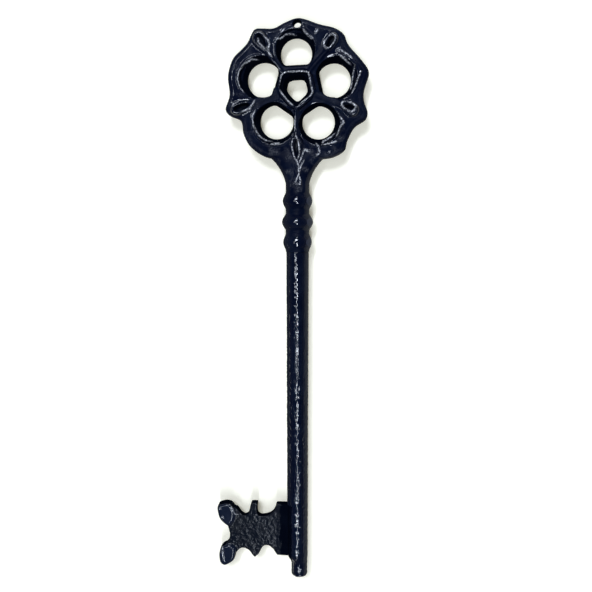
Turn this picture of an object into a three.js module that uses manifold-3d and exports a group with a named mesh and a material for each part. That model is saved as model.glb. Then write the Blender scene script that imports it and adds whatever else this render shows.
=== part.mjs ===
// A large decorative skeleton key in painted cast iron, built up as a locksmith builds one: a cast rosette bow
// with a flared neck, three bead collars threaded on the shank's spigot, a round shank, and a scalloped bit
// let into a slot near the tip. Millimetres. The key lies on its back: +Y runs from the bit to the bow,
// +X is to the right seen from above and +Z is up. The rosette's relief is on its front; its back is plain.
import * as THREE from "three";
import { mergeVertices } from "three/addons/utils/BufferGeometryUtils.js";
import Module from "manifold-3d";

const wasm = await Module();
wasm.setup();

// Driving dimensions, in millimetres. y = 0 is the shank's shoulder, where the collars begin.

const shankRadius = 5.93; // at the shoulder
const shankFootRadius = 5.8; // where the bit is let in
const shankLength = 181.6; // shoulder to the end of the tip
const tipRadius = 4.55;
const tipOffset = 1.1; // the worn tip sits off the shank's axis, away from the bit
const tipLength = 7; // straight part of the tip
const tipTaper = 6; // length over which the shank draws in below the bit
const tipRound = 1.6; // rounding of the tip's end
const collarFlatRadius = 6.15; // the plain necks between the beads
const collarBeadRadii = [7.5, 8.1, 7.7]; // from the shank up
const collarLengths = [10.0, 10.8, 10.0];
const beadPlaceShares = [0.5, 0.5, 0.54]; // of each collar's length
const beadHalfLength = 4.3; // from the middle of a bead to the foot of its fillet
const spigotRadius = 3.3; // carries the collars and enters the neck
const socketDepth = 9; // how far the spigot enters the neck
const fitGap = 0.3; // clearance round the spigot and round the bit's tang
const overrun = 1; // how far a cutter runs past what it cuts

const neckLength = 51.3; // top collar to the middle of the rosette
const bowRadius = 36; // middle of the rosette to its mean outline
const landHalf = 4; // half thickness of the rosette at its flat petals
const edgeRound = 2.2; // rounding of the rosette's outline, in depth
const edgeDraft = 1.9; // and across its face
const petalHoleRadius = 8.55; // the waist of each petal's cup
const petalHoleReach = 18; // middle of the rosette to the middle of that waist
const petalHoleFlat = 11.6; // middle of the rosette to the waist's flat side
const petalCupWiden = 2; // how much wider the cup's rim is than its waist
const petalCupShift = 1.5; // and how much further out its middle lies
const petalCupSlope = 1.7; // how much nearer the hub its flat side comes
const petalBackWiden = 0.5; // draft of the hole towards the back
const waistTop = -0.8; // the cylindrical waist lies between these two heights
const waistFoot = -2.8;
const lipHalf = 0.6; // half width of the fine lip round a cup
const lipRise = 0.5;
const lipRoot = 2; // how deep the lip reaches into the plate
const hubRidgeRadius = 10.1; // corner radius of the five-sided ridge round the hub's hole
const hubRidgeHalf = 1.35;
const hubRise = 1.5; // crest of that ridge over the flat petals
const hubHoleRadius = 6.05; // corner radius of the five-sided hole at its waist
const hubRimRadius = 8.7; // and inside the ridge's crest
const hubCornerRound = 0.24; // rounding of the hole's corners, as a share of its side
const ribHalf = 1.3; // half width of a rib at its foot
const ribRise = 1.15;
const loopReach = 28.4; // middle of the rosette to the middle of a sepal's loop
const loopLength = 10; // along the line of the loop's ridge
const loopWidth = 5;
const loopRidgeHalf = 1.2;
const loopRise = 1.4;
const loopHollow = 1.2; // depth of the hollow inside a loop
const leafReach = 30; // the lowest sepal is a leaf that runs down towards the neck
const leafLength = 12;
const leafWidth = 4.4;
const hangHoleRadius = 2.05;
const hangHoleReach = 30.9;
const crossPlaceShare = 0.17; // where the middle of the strapwork cross sits on the neck, from the collars up
const crossHalfShare = 0.105; // half the cross's length, also as a share of neckLength
const crossHalfWidth = 2.0;
const crossRidgeHalf = 0.8;
const crossRise = 0.5;

const bitFromTip = 24.4; // end of the tip to the middle of the bit
const bitReach = 45.3; // shank's axis to just past the outer lobes
const bitHalfHeight = 19.8; // middle of the bit to the end of the lower lobe
const bitWebHalf = 2.2; // half thickness of the web
const bitLobeHalf = 3.5; // half thickness of the lobes at the outer corners
const webEdge = 0.5; // rounding of the web's edges
const lobeEdge = 1.5; // rounding of the lobes' edges
const tangReach = 2.6; // how far past the shank's axis the tang comes

// Counts and directions.

const petals = 5;
const up = Math.PI / 2;
const fullTurn = 2 * Math.PI;
const roundSides = 32;
const cupSides = 32;
const outlineSteps = 124;
const toRadians = THREE.MathUtils.degToRad;

// The rosette's outline as cast, three or four points to a petal and three to a sepal: turn in degrees from +X,
// and reach as a share of bowRadius.

const outlineReachShares = [
  [5, 0.97], [12, 1.02], [22, 0.97], [40, 0.915], [48, 0.965], [57, 0.955], [70, 0.91], [89, 0.945], [101, 0.905],
  [112, 0.88], [120, 0.945], [126, 1.005], [131, 0.98], [138, 0.94], [147, 0.96], [155, 1], [169, 1], [185, 0.965],
  [195, 1.06], [200, 1.03], [208, 0.91], [219, 0.985], [230, 1.035], [247, 1.03], [270, 0.9], [289, 1.02],
  [300, 1.075], [309, 1.075], [314, 1.01], [327, 0.965], [336, 1.05], [341, 1.045], [349, 0.95], [357, 0.93],
];

// The petals' holes are placed by hand too: turn in degrees, then reach, the flat side's reach and radius, as
// shares of petalHoleReach, petalHoleFlat and petalHoleRadius.

const petalReachShares = [
  [92.3, 0.96, 1.05, 0.925], [164, 0.975, 1.01, 1.03], [236, 1.065, 1.07, 1], [303, 1.085, 1.07, 0.97],
  [13, 1.04, 1.06, 1],
];

// The hub's five corners: turn in degrees, and reach as a share of the hub's radii.

const hubReachShares = [[343, 0.92], [53, 1.02], [135, 1.04], [186, 0.96], [268, 1.08]];

// The sepals' loops, one for each corner of the hub but the last: turn and lean in degrees, then reach, length
// and width as shares of loopReach, loopLength and loopWidth.

const loopSizeShares = [
  [339, 333, 1, 0.76, 0.94], [52, 62, 0.955, 0.86, 0.82], [128.5, 119, 1, 1, 1.04], [198, 200, 1.015, 1.12, 0.86],
];

// How far the ribs to the loops rise, as shares of ribRise, and how wide they are, as shares of ribHalf.

const ribSizeShares = [[0.6, 1.5], [0.9, 1], [1, 1], [0.6, 1.6]];

// The neck from the top collar into the rosette: place as a share of neckLength, then half width and half
// depth as shares of collarFlatRadius.

const neckShares = [
  [0, 1, 1], [0.084, 1, 0.985], [0.136, 1.12, 0.955], [0.185, 1.29, 0.92], [0.23, 1.5, 0.885],
  [0.288, 1.85, 0.835], [0.337, 2.27, 0.77], [0.386, 2.72, 0.69], [0.44, 3.05, 0.6],
];

// How the bar draws in to the worn tip, in a hollow curve: height as a share of tipTaper, and how far it has
// come from the bar's foot to the tip.

const tipCurveShares = [[1, 0], [0.75, 0.42], [0.45, 0.76], [0.2, 0.94], [0, 1]];

// The bit's edges from the shank outwards: reach as a share of bitReach, and height from the middle of the bit
// as a share of bitHalfHeight. The lower edge has a pointed tooth between its arches, the upper one a square tooth.

const lowerInnerShares = [
  [0.25, -0.63], [0.29, -0.49], [0.335, -0.38], [0.38, -0.355], [0.42, -0.395], [0.45, -0.5], [0.48, -0.64],
];
const lowerToothShares = [[0.53, -0.74]];
const lowerOuterShares = [
  [0.57, -0.62], [0.605, -0.525], [0.65, -0.475], [0.69, -0.475], [0.73, -0.54], [0.76, -0.64], [0.8, -0.8],
];
const webEndShares = [[0.9, -0.4], [0.845, -0.24], [0.84, -0.04], [0.86, 0.15], [0.9, 0.4]];
const upperOuterShares = [
  [0.79, 0.75], [0.74, 0.72], [0.7, 0.6], [0.665, 0.52], [0.63, 0.525], [0.6, 0.6], [0.585, 0.76],
];
const upperToothShares = [[0.565, 0.91], [0.487, 0.91]];
const upperInnerShares = [
  [0.49, 0.71], [0.485, 0.59], [0.46, 0.53], [0.41, 0.525], [0.345, 0.575], [0.295, 0.67], [0.268, 0.79], [0.262, 0.9],
];

// The outlines of the two lobes in the same shares.

const lowerLobeShares = [
  [0.76, -0.47], [0.77, -0.69], [0.785, -0.82], [0.84, -0.93], [0.91, -1], [0.955, -0.93], [0.972, -0.78],
  [0.97, -0.62], [0.943, -0.45], [0.87, -0.355], [0.8, -0.38],
];
const upperLobeShares = [
  [0.765, 0.52], [0.773, 0.68], [0.808, 0.82], [0.86, 0.87], [0.92, 0.85], [0.97, 0.81], [0.985, 0.74], [0.98, 0.58],
  [0.955, 0.4], [0.9, 0.265], [0.85, 0.2], [0.79, 0.33],
];

// Solids: closed geometries are joined and cut as manifolds, and turned back into geometry at the end.

function solidOf(geometry) {
  const bare = geometry.clone();
  bare.deleteAttribute("normal");
  bare.deleteAttribute("uv");
  const merged = mergeVertices(bare);
  const triVerts = new Uint32Array(merged.index.array);
  const vertProperties = merged.attributes.position.array;
  const solid = new wasm.Manifold(new wasm.Mesh({ numProp: 3, vertProperties, triVerts }));
  if (solid.volume() > 0) return solid;
  triVerts.reverse();
  return new wasm.Manifold(new wasm.Mesh({ numProp: 3, vertProperties, triVerts }));
}

function geometryOf(solid) {
  const mesh = solid.getMesh();
  const geometry = new THREE.BufferGeometry();
  geometry.setAttribute("position", new THREE.BufferAttribute(mesh.vertProperties, 3));
  geometry.setIndex(new THREE.BufferAttribute(mesh.triVerts, 1));
  const faceted = geometry.toNonIndexed();
  faceted.computeVertexNormals();
  return faceted;
}

const joined = (solids) => solids.reduce((whole, solid) => whole.add(solid));
const cutBy = (solid, cutters) => cutters.reduce((left, cutter) => left.subtract(cutter), solid);

// Side faces between two rings of as many points, given the index of each ring's first point.
function bandFaces(lower, upper, sides) {
  return Array.from({ length: sides }, (_, side) => {
    const next = (side + 1) % sides;
    return [lower + side, lower + next, upper + next, lower + side, upper + next, upper + side];
  }).flat();
}

// A closed body through rings of points, its ends closed by fans from their middles.
function loft(rings) {
  const sides = rings[0].length;
  const middle = (ring) => ring.reduce((sum, p) => sum.add(p), new THREE.Vector3()).divideScalar(sides);
  const points = [...rings.flat(), middle(rings[0]), middle(rings.at(-1))];
  const foot = rings.length * sides;
  const last = foot - sides;
  const faces = rings.slice(1).flatMap((_, r) => bandFaces(r * sides, (r + 1) * sides, sides));
  for (let side = 0; side < sides; side++) {
    const next = (side + 1) % sides;
    faces.push(foot, next, side, foot + 1, last + side, last + next);
  }
  return new THREE.BufferGeometry().setFromPoints(points).setIndex(faces);
}

// A closed ring of sections: each is joined to the next and the last to the first.
function ring(sections) {
  const sides = sections[0].length;
  const count = sections.length;
  const faces = sections.flatMap((_, s) => bandFaces(s * sides, ((s + 1) % count) * sides, sides));
  return new THREE.BufferGeometry().setFromPoints(sections.flat()).setIndex(faces);
}

// A ridge's section at a point of its line: a rounded crest, and a foot sunk in what carries it.
function ridgeSection(point, along, half, rise, sunk) {
  const across = new THREE.Vector3(along.y, -along.x, 0).normalize();
  const crest = [[-1, 0], [-0.66, 0.62], [-0.25, 1], [0.25, 1], [0.66, 0.62], [1, 0]];
  const place = (side, z) => point.clone().addScaledVector(across, side * half).setZ(point.z + z);
  return [...crest.map(([side, height]) => place(side, height * rise)), place(1, -sunk), place(-1, -sunk)];
}

// A ridge along an open line, rooted so far below it; fade draws its ends down and in by that share.
function ridge(line, half, rise, root = landHalf / 2, fade = 0) {
  const rings = line.map((point, i) => {
    const along = line[Math.min(i + 1, line.length - 1)].clone().sub(line[Math.max(i - 1, 0)]);
    const size = 1 - fade * (1 - Math.sin((Math.PI * (i + 0.5)) / line.length));
    return ridgeSection(point, along, half * size, rise * size, root);
  });
  return solidOf(loft(rings));
}

function closedRidge(line, half, rise, root) {
  const count = line.length;
  const sections = line.map((point, i) => {
    const along = line[(i + 1) % count].clone().sub(line[(i + count - 1) % count]);
    return ridgeSection(point, along, half, rise, root);
  });
  return solidOf(ring(sections));
}

// A circle of points square to the key's length.
const circle = (y, x, radius) =>
  Array.from({ length: roundSides }, (_, i) => {
    const angle = (i * fullTurn) / roundSides;
    return new THREE.Vector3(x + radius * Math.cos(angle), y, radius * Math.sin(angle));
  });

const rod = (fromY, toY, radius) => solidOf(loft([circle(fromY, 0, radius), circle(toY, 0, radius)]));

// Places round the rosette.

const collarStack = collarLengths.reduce((sum, length) => sum + length);
const bowMiddle = collarStack + neckLength;
const boreRadius = spigotRadius + fitGap;

// The hub and the ribs stand on solid metal down to the foot of the cups' waists.
const webDepth = landHalf - waistFoot;

const aroundBow = (reach, turn, z = landHalf) =>
  new THREE.Vector3(reach * Math.cos(turn), bowMiddle + reach * Math.sin(turn), z);

// The rosette's plate: its outline extruded, with rounded edges.
function rosettePlate() {
  const corners = outlineReachShares.map(([turn, share]) => {
    const angle = toRadians(turn);
    return new THREE.Vector3(share * bowRadius * Math.cos(angle), share * bowRadius * Math.sin(angle), 0);
  });
  const curve = new THREE.CatmullRomCurve3(corners, true, "centripetal");
  const outline = curve.getSpacedPoints(outlineSteps).slice(0, -1);
  const plate = new THREE.ExtrudeGeometry(new THREE.Shape(outline.map((p) => new THREE.Vector2(p.x, p.y))), {
    depth: 2 * (landHalf - edgeRound),
    bevelThickness: edgeRound,
    bevelSize: edgeDraft,
    bevelOffset: -edgeDraft,
    bevelSegments: 3,
  });
  return solidOf(plate.translate(0, bowMiddle, edgeRound - landHalf));
}

// A petal's cup: a round rim in the front, drawn in like a bowl to a waist with a flat side, then out to the back.
// open says how far a section has opened towards the rim, from 0 at the waist to 1, and extra widens it evenly.
function petalSection([degrees, reachShare, flatShare, radiusShare], z, open, extra = 0) {
  const turn = toRadians(degrees);
  const radius = radiusShare * petalHoleRadius + open * petalCupWiden + extra;
  const middle = reachShare * petalHoleReach + open * petalCupShift;
  const inner = flatShare * petalHoleFlat - open * petalCupSlope - extra;
  const sideways = new THREE.Vector3(-Math.sin(turn), Math.cos(turn), 0);
  return Array.from({ length: cupSides }, (_, i) => {
    const angle = (i * fullTurn) / cupSides;
    const outward = Math.max(middle + radius * Math.cos(angle), inner);
    return aroundBow(outward, turn, z).addScaledVector(sideways, radius * Math.sin(angle));
  });
}

function petalCup(shares) {
  const section = (z, open, extra) => petalSection(shares, z, open, extra);
  const bowl = [[0, 0], [0.25, 0.2], [0.55, 0.5], [0.8, 0.78], [1, 1]];
  const wall = bowl.map(([height, open]) => section(THREE.MathUtils.lerp(waistTop, landHalf, height), open));
  const back = section(-landHalf, 0, petalBackWiden);
  const past = section(-landHalf - overrun, 0, petalBackWiden);
  return solidOf(loft([past, back, section(waistFoot, 0), ...wall, section(landHalf + overrun, 1)]));
}

// What keeps a petal's hole open where the ribs and the hub pass it.
function petalCore(shares) {
  const section = (z, open) => petalSection(shares, z, open);
  const top = landHalf + hubRise + overrun;
  return solidOf(loft([section(-landHalf, 0), section(waistTop, 0), section(top, 0.3)]));
}

// The fine lip on the outer side of a cup's rim.
function petalLip([degrees, reachShare, , radiusShare]) {
  const turn = toRadians(degrees);
  const middle = aroundBow(reachShare * petalHoleReach + petalCupShift, turn);
  const radius = radiusShare * petalHoleRadius + petalCupWiden + lipHalf / 2;
  const steps = 15;
  const halfSweep = 0.58 * Math.PI;
  const line = Array.from({ length: steps }, (_, i) => {
    const angle = turn + THREE.MathUtils.lerp(-halfSweep, halfSweep, i / (steps - 1));
    return middle.clone().add(new THREE.Vector3(radius * Math.cos(angle), radius * Math.sin(angle), 0));
  });
  return ridge(line, lipHalf, lipRise, lipRoot, 0.7);
}

// The hub: a five-sided ridge round a five-sided hole with rounded corners, widest at the front.
function hubCorner(side, radius, z) {
  const [degrees, share] = hubReachShares[side % petals];
  return aroundBow(share * radius, toRadians(degrees), z);
}

function hubLine(radius, z) {
  const places = [hubCornerRound, 0.5, 1 - hubCornerRound];
  return hubReachShares.flatMap((_, side) => {
    const next = hubCorner(side + 1, radius, z);
    const rounded = hubCorner(side, radius, z).lerp(next, hubCornerRound / 2);
    rounded.lerp(hubCorner(side, radius * (1 - hubCornerRound / 2), z), 0.5);
    return [rounded, ...places.map((share) => hubCorner(side, radius, z).lerp(next, share))];
  });
}

function hubHole() {
  const crest = landHalf + hubRise;
  const rings = [
    hubLine(hubRimRadius, -landHalf - overrun),
    hubLine(hubHoleRadius, -landHalf / 2),
    hubLine(hubHoleRadius, 0),
    hubLine(hubRimRadius, crest),
    hubLine(hubRimRadius, crest + overrun),
  ];
  return solidOf(loft(rings));
}

const hubRidge = () => closedRidge(hubLine(hubRidgeRadius, landHalf), hubRidgeHalf, hubRise, webDepth);

// A teardrop line about a point of the rosette, its pointed end against the lean.
function teardrop(middle, lean, length, width, z) {
  const steps = 18;
  const widest = 0.77;
  const along = new THREE.Vector3(Math.cos(lean), Math.sin(lean), 0);
  const across = new THREE.Vector3(-Math.sin(lean), Math.cos(lean), 0);
  return Array.from({ length: steps }, (_, i) => {
    const t = ((i + 0.5) * fullTurn) / steps;
    const side = (Math.sin(t) * Math.sin(t / 2)) / widest;
    const point = middle.clone().setZ(z).addScaledVector(along, (-length / 2) * Math.cos(t));
    return point.addScaledVector(across, (width / 2) * side);
  });
}

// A loop's ridge in two halves that meet at its pointed end and at its round end.
function loopRidge(line) {
  const turn = line.length / 2;
  const halves = [line.slice(0, turn + 1), [...line.slice(turn), line[0]]];
  return halves.map((half) => ridge(half, loopRidgeHalf, loopRise));
}

// The hollow inside a loop's ridge.
function loopCutter(middle, lean, length, width) {
  const inner = (grow, z) => teardrop(middle, lean, length - loopRidgeHalf + grow, width - loopRidgeHalf + grow, z);
  const floor = inner(-loopRidgeHalf, landHalf - loopHollow);
  return solidOf(loft([floor, inner(0, landHalf + loopRise), inner(0, landHalf + loopRise + overrun)]));
}

// Every sepal: the four loops, then the leaf, each with its rib from the hub.
function sepals() {
  const ridges = [];
  const hollows = [];
  loopSizeShares.forEach(([turn, leanDegrees, reachShare, lengthShare, widthShare], side) => {
    const lean = toRadians(leanDegrees);
    const middle = aroundBow(reachShare * loopReach, toRadians(turn));
    const [length, width] = [lengthShare * loopLength, widthShare * loopWidth];
    const [riseShare, halfShare] = ribSizeShares[side];
    const stem = middle.clone().addScaledVector(new THREE.Vector3(Math.cos(lean), Math.sin(lean), 0), -length / 2);
    const hub = hubCorner(side, hubRidgeRadius, landHalf);
    const rib = [0, 0.25, 0.5, 0.75, 1].map((share) => hub.clone().lerp(stem, share));
    ridges.push(...loopRidge(teardrop(middle, lean, length, width, landHalf)));
    ridges.push(ridge(rib, ribHalf * halfShare, ribRise * riseShare, webDepth));
    hollows.push(loopCutter(middle, lean, length, width));
  });
  const leafMiddle = aroundBow(leafReach, -up);
  const hubFoot = hubCorner(petals - 1, hubRidgeRadius, landHalf);
  const leafTop = aroundBow(leafReach - leafLength / 2, -up);
  const leafRib = [0, 0.25, 0.5, 0.75, 1].map((share) => hubFoot.clone().lerp(leafTop, share));
  ridges.push(...loopRidge(teardrop(leafMiddle, up, leafLength, leafWidth, landHalf)));
  ridges.push(ridge(leafRib, ribHalf, ribRise, webDepth));
  hollows.push(loopCutter(leafMiddle, up, leafLength, leafWidth));
  return { ridges, hollows };
}

// The neck: a round stem at the collars that spreads and flattens into the rosette.
function neck() {
  const sides = roundSides;
  const rings = neckShares.map(([place, widthShare, depthShare]) => {
    return Array.from({ length: sides }, (_, i) => {
      const angle = (i * fullTurn) / sides;
      const x = widthShare * collarFlatRadius * Math.cos(angle);
      const z = depthShare * collarFlatRadius * Math.sin(angle);
      return new THREE.Vector3(x, collarStack + place * neckLength, z);
    });
  });
  return solidOf(loft(rings));
}

// How high the neck's front stands at a place on its middle line.
function neckHeight(y) {
  const place = (y - collarStack) / neckLength;
  const after = neckShares.findIndex(([share]) => share >= place);
  const [[a, , low], [b, , high]] = [neckShares[after - 1], neckShares[after]];
  return collarFlatRadius * THREE.MathUtils.mapLinear(place, a, b, low, high);
}

// The strapwork cross on the neck: two straps that cross on its middle line.
function cross() {
  return [-1, 1].map((side) => {
    const line = [-1, -0.5, 0, 0.5, 1].map((share) => {
      const y = collarStack + (crossPlaceShare + share * crossHalfShare) * neckLength;
      const x = side * share * crossHalfWidth;
      const drop = (x * x) / (2 * collarFlatRadius);
      return new THREE.Vector3(x, y, neckHeight(y) - drop);
    });
    return ridge(line, crossRidgeHalf, crossRise);
  });
}

function bow() {
  const { ridges, hollows } = sepals();
  const holed = cutBy(rosettePlate().add(neck()), petalReachShares.map(petalCup));
  const lips = petalReachShares.map(petalLip);
  const raised = joined([holed, hubRidge(), ...lips, ...ridges, ...cross()]);
  const hang = new THREE.CylinderGeometry(hangHoleRadius, hangHoleRadius, 2 * (landHalf + overrun), roundSides);
  const hangHole = hang.rotateX(up).translate(0, bowMiddle + hangHoleReach, 0);
  const socket = rod(collarStack - overrun, collarStack + socketDepth, boreRadius);
  return cutBy(raised, [...petalReachShares.map(petalCore), hubHole(), ...hollows, solidOf(hangHole), socket]);
}

// A collar: a sleeve with one bead, whose fillets run out to the plain necks on both sides.
function collar(index) {
  const foot = collarLengths.slice(0, index).reduce((sum, length) => sum + length, 0);
  const top = foot + collarLengths[index];
  const middle = foot + collarLengths[index] * beadPlaceShares[index];
  const beadRise = collarBeadRadii[index] - collarFlatRadius;
  const profile = [new THREE.Vector2(boreRadius, foot), new THREE.Vector2(collarFlatRadius, foot)];
  const bead = [[-1, 0], [-0.86, 0.08], [-0.72, 0.32], [-0.5, 0.72], [-0.26, 0.94], [0, 1]];
  const half = bead.map(([along, rise]) => [along * beadHalfLength, collarFlatRadius + rise * beadRise]);
  for (const [along, radius] of half) profile.push(new THREE.Vector2(radius, middle + along));
  for (const [along, radius] of half.slice(0, -1).reverse()) profile.push(new THREE.Vector2(radius, middle - along));
  profile.push(new THREE.Vector2(collarFlatRadius, top), new THREE.Vector2(boreRadius, top));
  profile.push(profile[0].clone());
  return solidOf(new THREE.LatheGeometry(profile, roundSides));
}

// The shank: spigot, shoulder, a bar that draws in a little, and the worn tip off its axis.
const tipY = -shankLength;
const bitY = tipY + bitFromTip;

function shankBar() {
  const spigotTop = collarStack + socketDepth - fitGap;
  const straightEnd = tipY + tipLength;
  const rings = [
    circle(spigotTop, 0, spigotRadius - fitGap),
    circle(spigotTop - fitGap, 0, spigotRadius),
    circle(0, 0, spigotRadius),
    circle(0, 0, shankRadius),
    ...tipCurveShares.map(([height, worn]) => {
      const radius = THREE.MathUtils.lerp(shankFootRadius, tipRadius, worn);
      return circle(straightEnd + height * tipTaper, worn * tipOffset, radius);
    }),
    circle(tipY + tipRound, tipOffset, tipRadius),
    circle(tipY + tipRound / 3, tipOffset, tipRadius - tipRound / 3),
    circle(tipY, tipOffset, tipRadius - tipRound),
  ];
  return solidOf(loft(rings));
}

// The bit: its web with the tang that enters the shank, and a thick lobe at each outer corner.
const bitPoint = ([reach, height]) => new THREE.Vector2(-reach * bitReach, bitY + height * bitHalfHeight);

function plate(outline, half, edge, segments) {
  const geometry = new THREE.ExtrudeGeometry(new THREE.Shape(outline), {
    depth: 2 * (half - edge),
    bevelThickness: edge,
    bevelSize: edge,
    bevelOffset: -edge,
    bevelSegments: segments,
  });
  return solidOf(geometry.translate(0, 0, edge - half));
}

const curved = (shares, steps) => new THREE.SplineCurve(shares.map(bitPoint)).getPoints(steps);

const webFoot = bitPoint(lowerInnerShares[0]).y;
const webTop = bitPoint(upperInnerShares.at(-1)).y;

function bitWeb() {
  const steps = 14;
  const lower = curved([...lowerInnerShares, ...lowerToothShares], steps);
  const outer = curved([...lowerToothShares, ...lowerOuterShares], steps).slice(1);
  const end = webEndShares.map(bitPoint);
  const upperOuter = curved([...upperOuterShares, upperToothShares[0]], steps);
  const upperInner = curved([upperToothShares[1], ...upperInnerShares], steps);
  const tang = [new THREE.Vector2(tangReach, webTop), new THREE.Vector2(tangReach, webFoot)];
  const outline = [...lower, ...outer, ...end, ...upperOuter, ...upperInner, ...tang];
  return plate(outline, bitWebHalf, webEdge, 2);
}

function bitLobe(shares) {
  const corners = shares.map(bitPoint).map((point) => new THREE.Vector3(point.x, point.y, 0));
  const curve = new THREE.CatmullRomCurve3(corners, true, "centripetal");
  const outline = curve.getSpacedPoints(3 * shares.length).slice(0, -1);
  return plate(outline.map((p) => new THREE.Vector2(p.x, p.y)), bitLobeHalf, lobeEdge, 3);
}

function shank() {
  const slotLength = tangReach + fitGap + shankRadius + overrun;
  const slotHeight = webTop - webFoot + 2 * fitGap;
  const slot = new THREE.BoxGeometry(slotLength, slotHeight, 2 * (bitWebHalf + fitGap));
  const middleX = tangReach + fitGap - slotLength / 2;
  return shankBar().subtract(solidOf(slot.translate(middleX, (webTop + webFoot) / 2, 0)));
}

// Pieces.

const paints = {
  bow: [0x14161c, 0.32],
  collar: [0x15171d, 0.28],
  shank: [0x13151b, 0.28],
  bit: [0x16181e, 0.42],
};

function piece(name, solid, [color, roughness]) {
  const mesh = new THREE.Mesh(geometryOf(solid), new THREE.MeshStandardMaterial({ color, roughness, metalness: 0.1 }));
  mesh.name = name;
  return mesh;
}

const key = new THREE.Group();
key.name = "skeleton_key";
key.add(
  piece("bow", bow(), paints.bow),
  piece("collar_lower", collar(0), paints.collar),
  piece("collar_middle", collar(1), paints.collar),
  piece("collar_upper", collar(2), paints.collar),
  piece("shank", shank(), paints.shank),
  piece("bit", joined([bitWeb(), bitLobe(lowerLobeShares), bitLobe(upperLobeShares)]), paints.bit),
);

// The origin is at the middle of the box's bottom.
const box = new THREE.Box3().setFromObject(key);
const middle = box.getCenter(new THREE.Vector3());
key.position.set(-middle.x, -middle.y, -box.min.z);

export default key;
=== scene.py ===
# %% [markdown]
# # A painted cast-iron skeleton key
#
# The object is a large ornamental key. It lies on a white table and is seen from above, a little from its
# right. Its bow is a pierced rosette, then come three beads, a long round shank and a scalloped bit. The
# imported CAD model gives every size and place. This lesson turns its faceted solids into a soft old casting
# under thick black paint, and sets up the light that makes such paint readable.

import math

import bmesh
import bpy
import numpy as np
from mathutils import Matrix, Vector, noise
from mathutils.kdtree import KDTree


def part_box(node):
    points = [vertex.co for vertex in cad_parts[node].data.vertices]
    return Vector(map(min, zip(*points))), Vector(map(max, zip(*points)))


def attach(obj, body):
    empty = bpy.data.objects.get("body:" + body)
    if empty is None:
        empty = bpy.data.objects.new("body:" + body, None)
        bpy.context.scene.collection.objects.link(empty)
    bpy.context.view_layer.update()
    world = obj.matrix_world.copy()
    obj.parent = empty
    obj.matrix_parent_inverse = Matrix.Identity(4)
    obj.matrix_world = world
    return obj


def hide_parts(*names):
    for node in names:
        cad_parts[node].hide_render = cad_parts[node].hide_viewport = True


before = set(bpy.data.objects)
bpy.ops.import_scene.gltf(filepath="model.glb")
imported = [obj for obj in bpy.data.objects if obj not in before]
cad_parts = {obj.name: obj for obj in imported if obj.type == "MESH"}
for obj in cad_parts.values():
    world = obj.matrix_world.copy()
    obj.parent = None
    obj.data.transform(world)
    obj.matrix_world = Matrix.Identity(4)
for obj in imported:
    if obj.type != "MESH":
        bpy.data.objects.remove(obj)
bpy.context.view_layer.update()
scene = bpy.context.scene
MM = 0.001

print("nodes:", sorted(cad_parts))

# %% [markdown]
# ## Landmarks
#
# Everything below is placed from a few points of the CAD model: the axis of the shank, the height of the
# key's middle plane, and the middle of the rosette. The axis could be read from the shank's own box, but the
# worn tip hangs off it. The collars are turned about the same axis and have no such tip, so the box of a
# collar gives a cleaner reading. Landmarks from the frame keep the looks in step with the solids.

# %% Landmarks
collar_low, collar_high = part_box("collar_middle")
bow_low, bow_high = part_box("bow")
shank_low, shank_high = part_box("shank")
bit_low, bit_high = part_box("bit")

NECK_LENGTH = 51.3 * MM
LAND_HALF = 4 * MM
NECK_Y = bow_low.y
AXIS_X = (collar_low.x + collar_high.x) / 2
MID_Z = (collar_low.z + collar_high.z) / 2
LAND_Z = MID_Z + LAND_HALF
BOW_MIDDLE = Vector((AXIS_X, NECK_Y + NECK_LENGTH, MID_Z))

print("shank axis at x = %.2f mm, middle plane at z = %.2f mm" % (AXIS_X / MM, MID_Z / MM))
print("middle of the rosette at y = %.2f mm" % (BOW_MIDDLE.y / MM))

# %% [markdown]
# ## The camera
#
# The photograph was taken from above at less than arm's length, a little right of the key and level with its
# collars, so the inner walls of the holes show on their left and upper sides. A plain perspective camera at
# that place gives this. It looks at the middle of the key and isn't turned. Its lens is worked out from the
# picture's width in millimetres at the key's distance, which is easier to reason about than a focal length.

# %% Camera
CAMERA_PLACE = BOW_MIDDLE + Vector((30, -57.5, 340)) * MM
CAMERA_TARGET = BOW_MIDDLE + Vector((-0.8, -105.63, 0)) * MM
PICTURE_WIDTH = 313.3 * MM
SENSOR_WIDTH = 36

reach = (CAMERA_TARGET - CAMERA_PLACE).length
forward = (CAMERA_TARGET - CAMERA_PLACE).normalized()
right = forward.cross(Vector((0, 1, 0))).normalized()
upward = right.cross(forward)

camera = bpy.data.objects.new("camera", bpy.data.cameras.new("camera"))
scene.collection.objects.link(camera)
camera.matrix_world = Matrix((
    (right.x, upward.x, -forward.x, CAMERA_PLACE.x),
    (right.y, upward.y, -forward.y, CAMERA_PLACE.y),
    (right.z, upward.z, -forward.z, CAMERA_PLACE.z),
    (0, 0, 0, 1),
))
camera.data.sensor_width = SENSOR_WIDTH
camera.data.lens = SENSOR_WIDTH * reach / PICTURE_WIDTH
camera.data.clip_start = 10 * MM
scene.camera = camera

print("camera %.0f mm away with a %.1f mm lens" % (reach / MM, camera.data.lens))

# %% [markdown]
# ## The table
#
# The table is a plain diffuse sheet. A pale sheet under lamps that are right for the key would still render
# grey. More lamp light would spoil the key, so a little glow, seen only by camera, mirror and glass rays,
# lifts the sheet to white, and its own shading still carries the shadow. The glow is a touch warm and the
# lamps are a touch cool: together they are white, and the shadows keep the warm grey of the photograph.

# %% A small kit for node materials
def new_material(name):
    """An empty node material, its nodes and links, with the output node in place."""
    made = bpy.data.materials.new(name)
    made.use_nodes = True
    made.node_tree.nodes.clear()
    made.node_tree.nodes.new("ShaderNodeOutputMaterial").name = "out"
    return made, made.node_tree.nodes, made.node_tree.links


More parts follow.
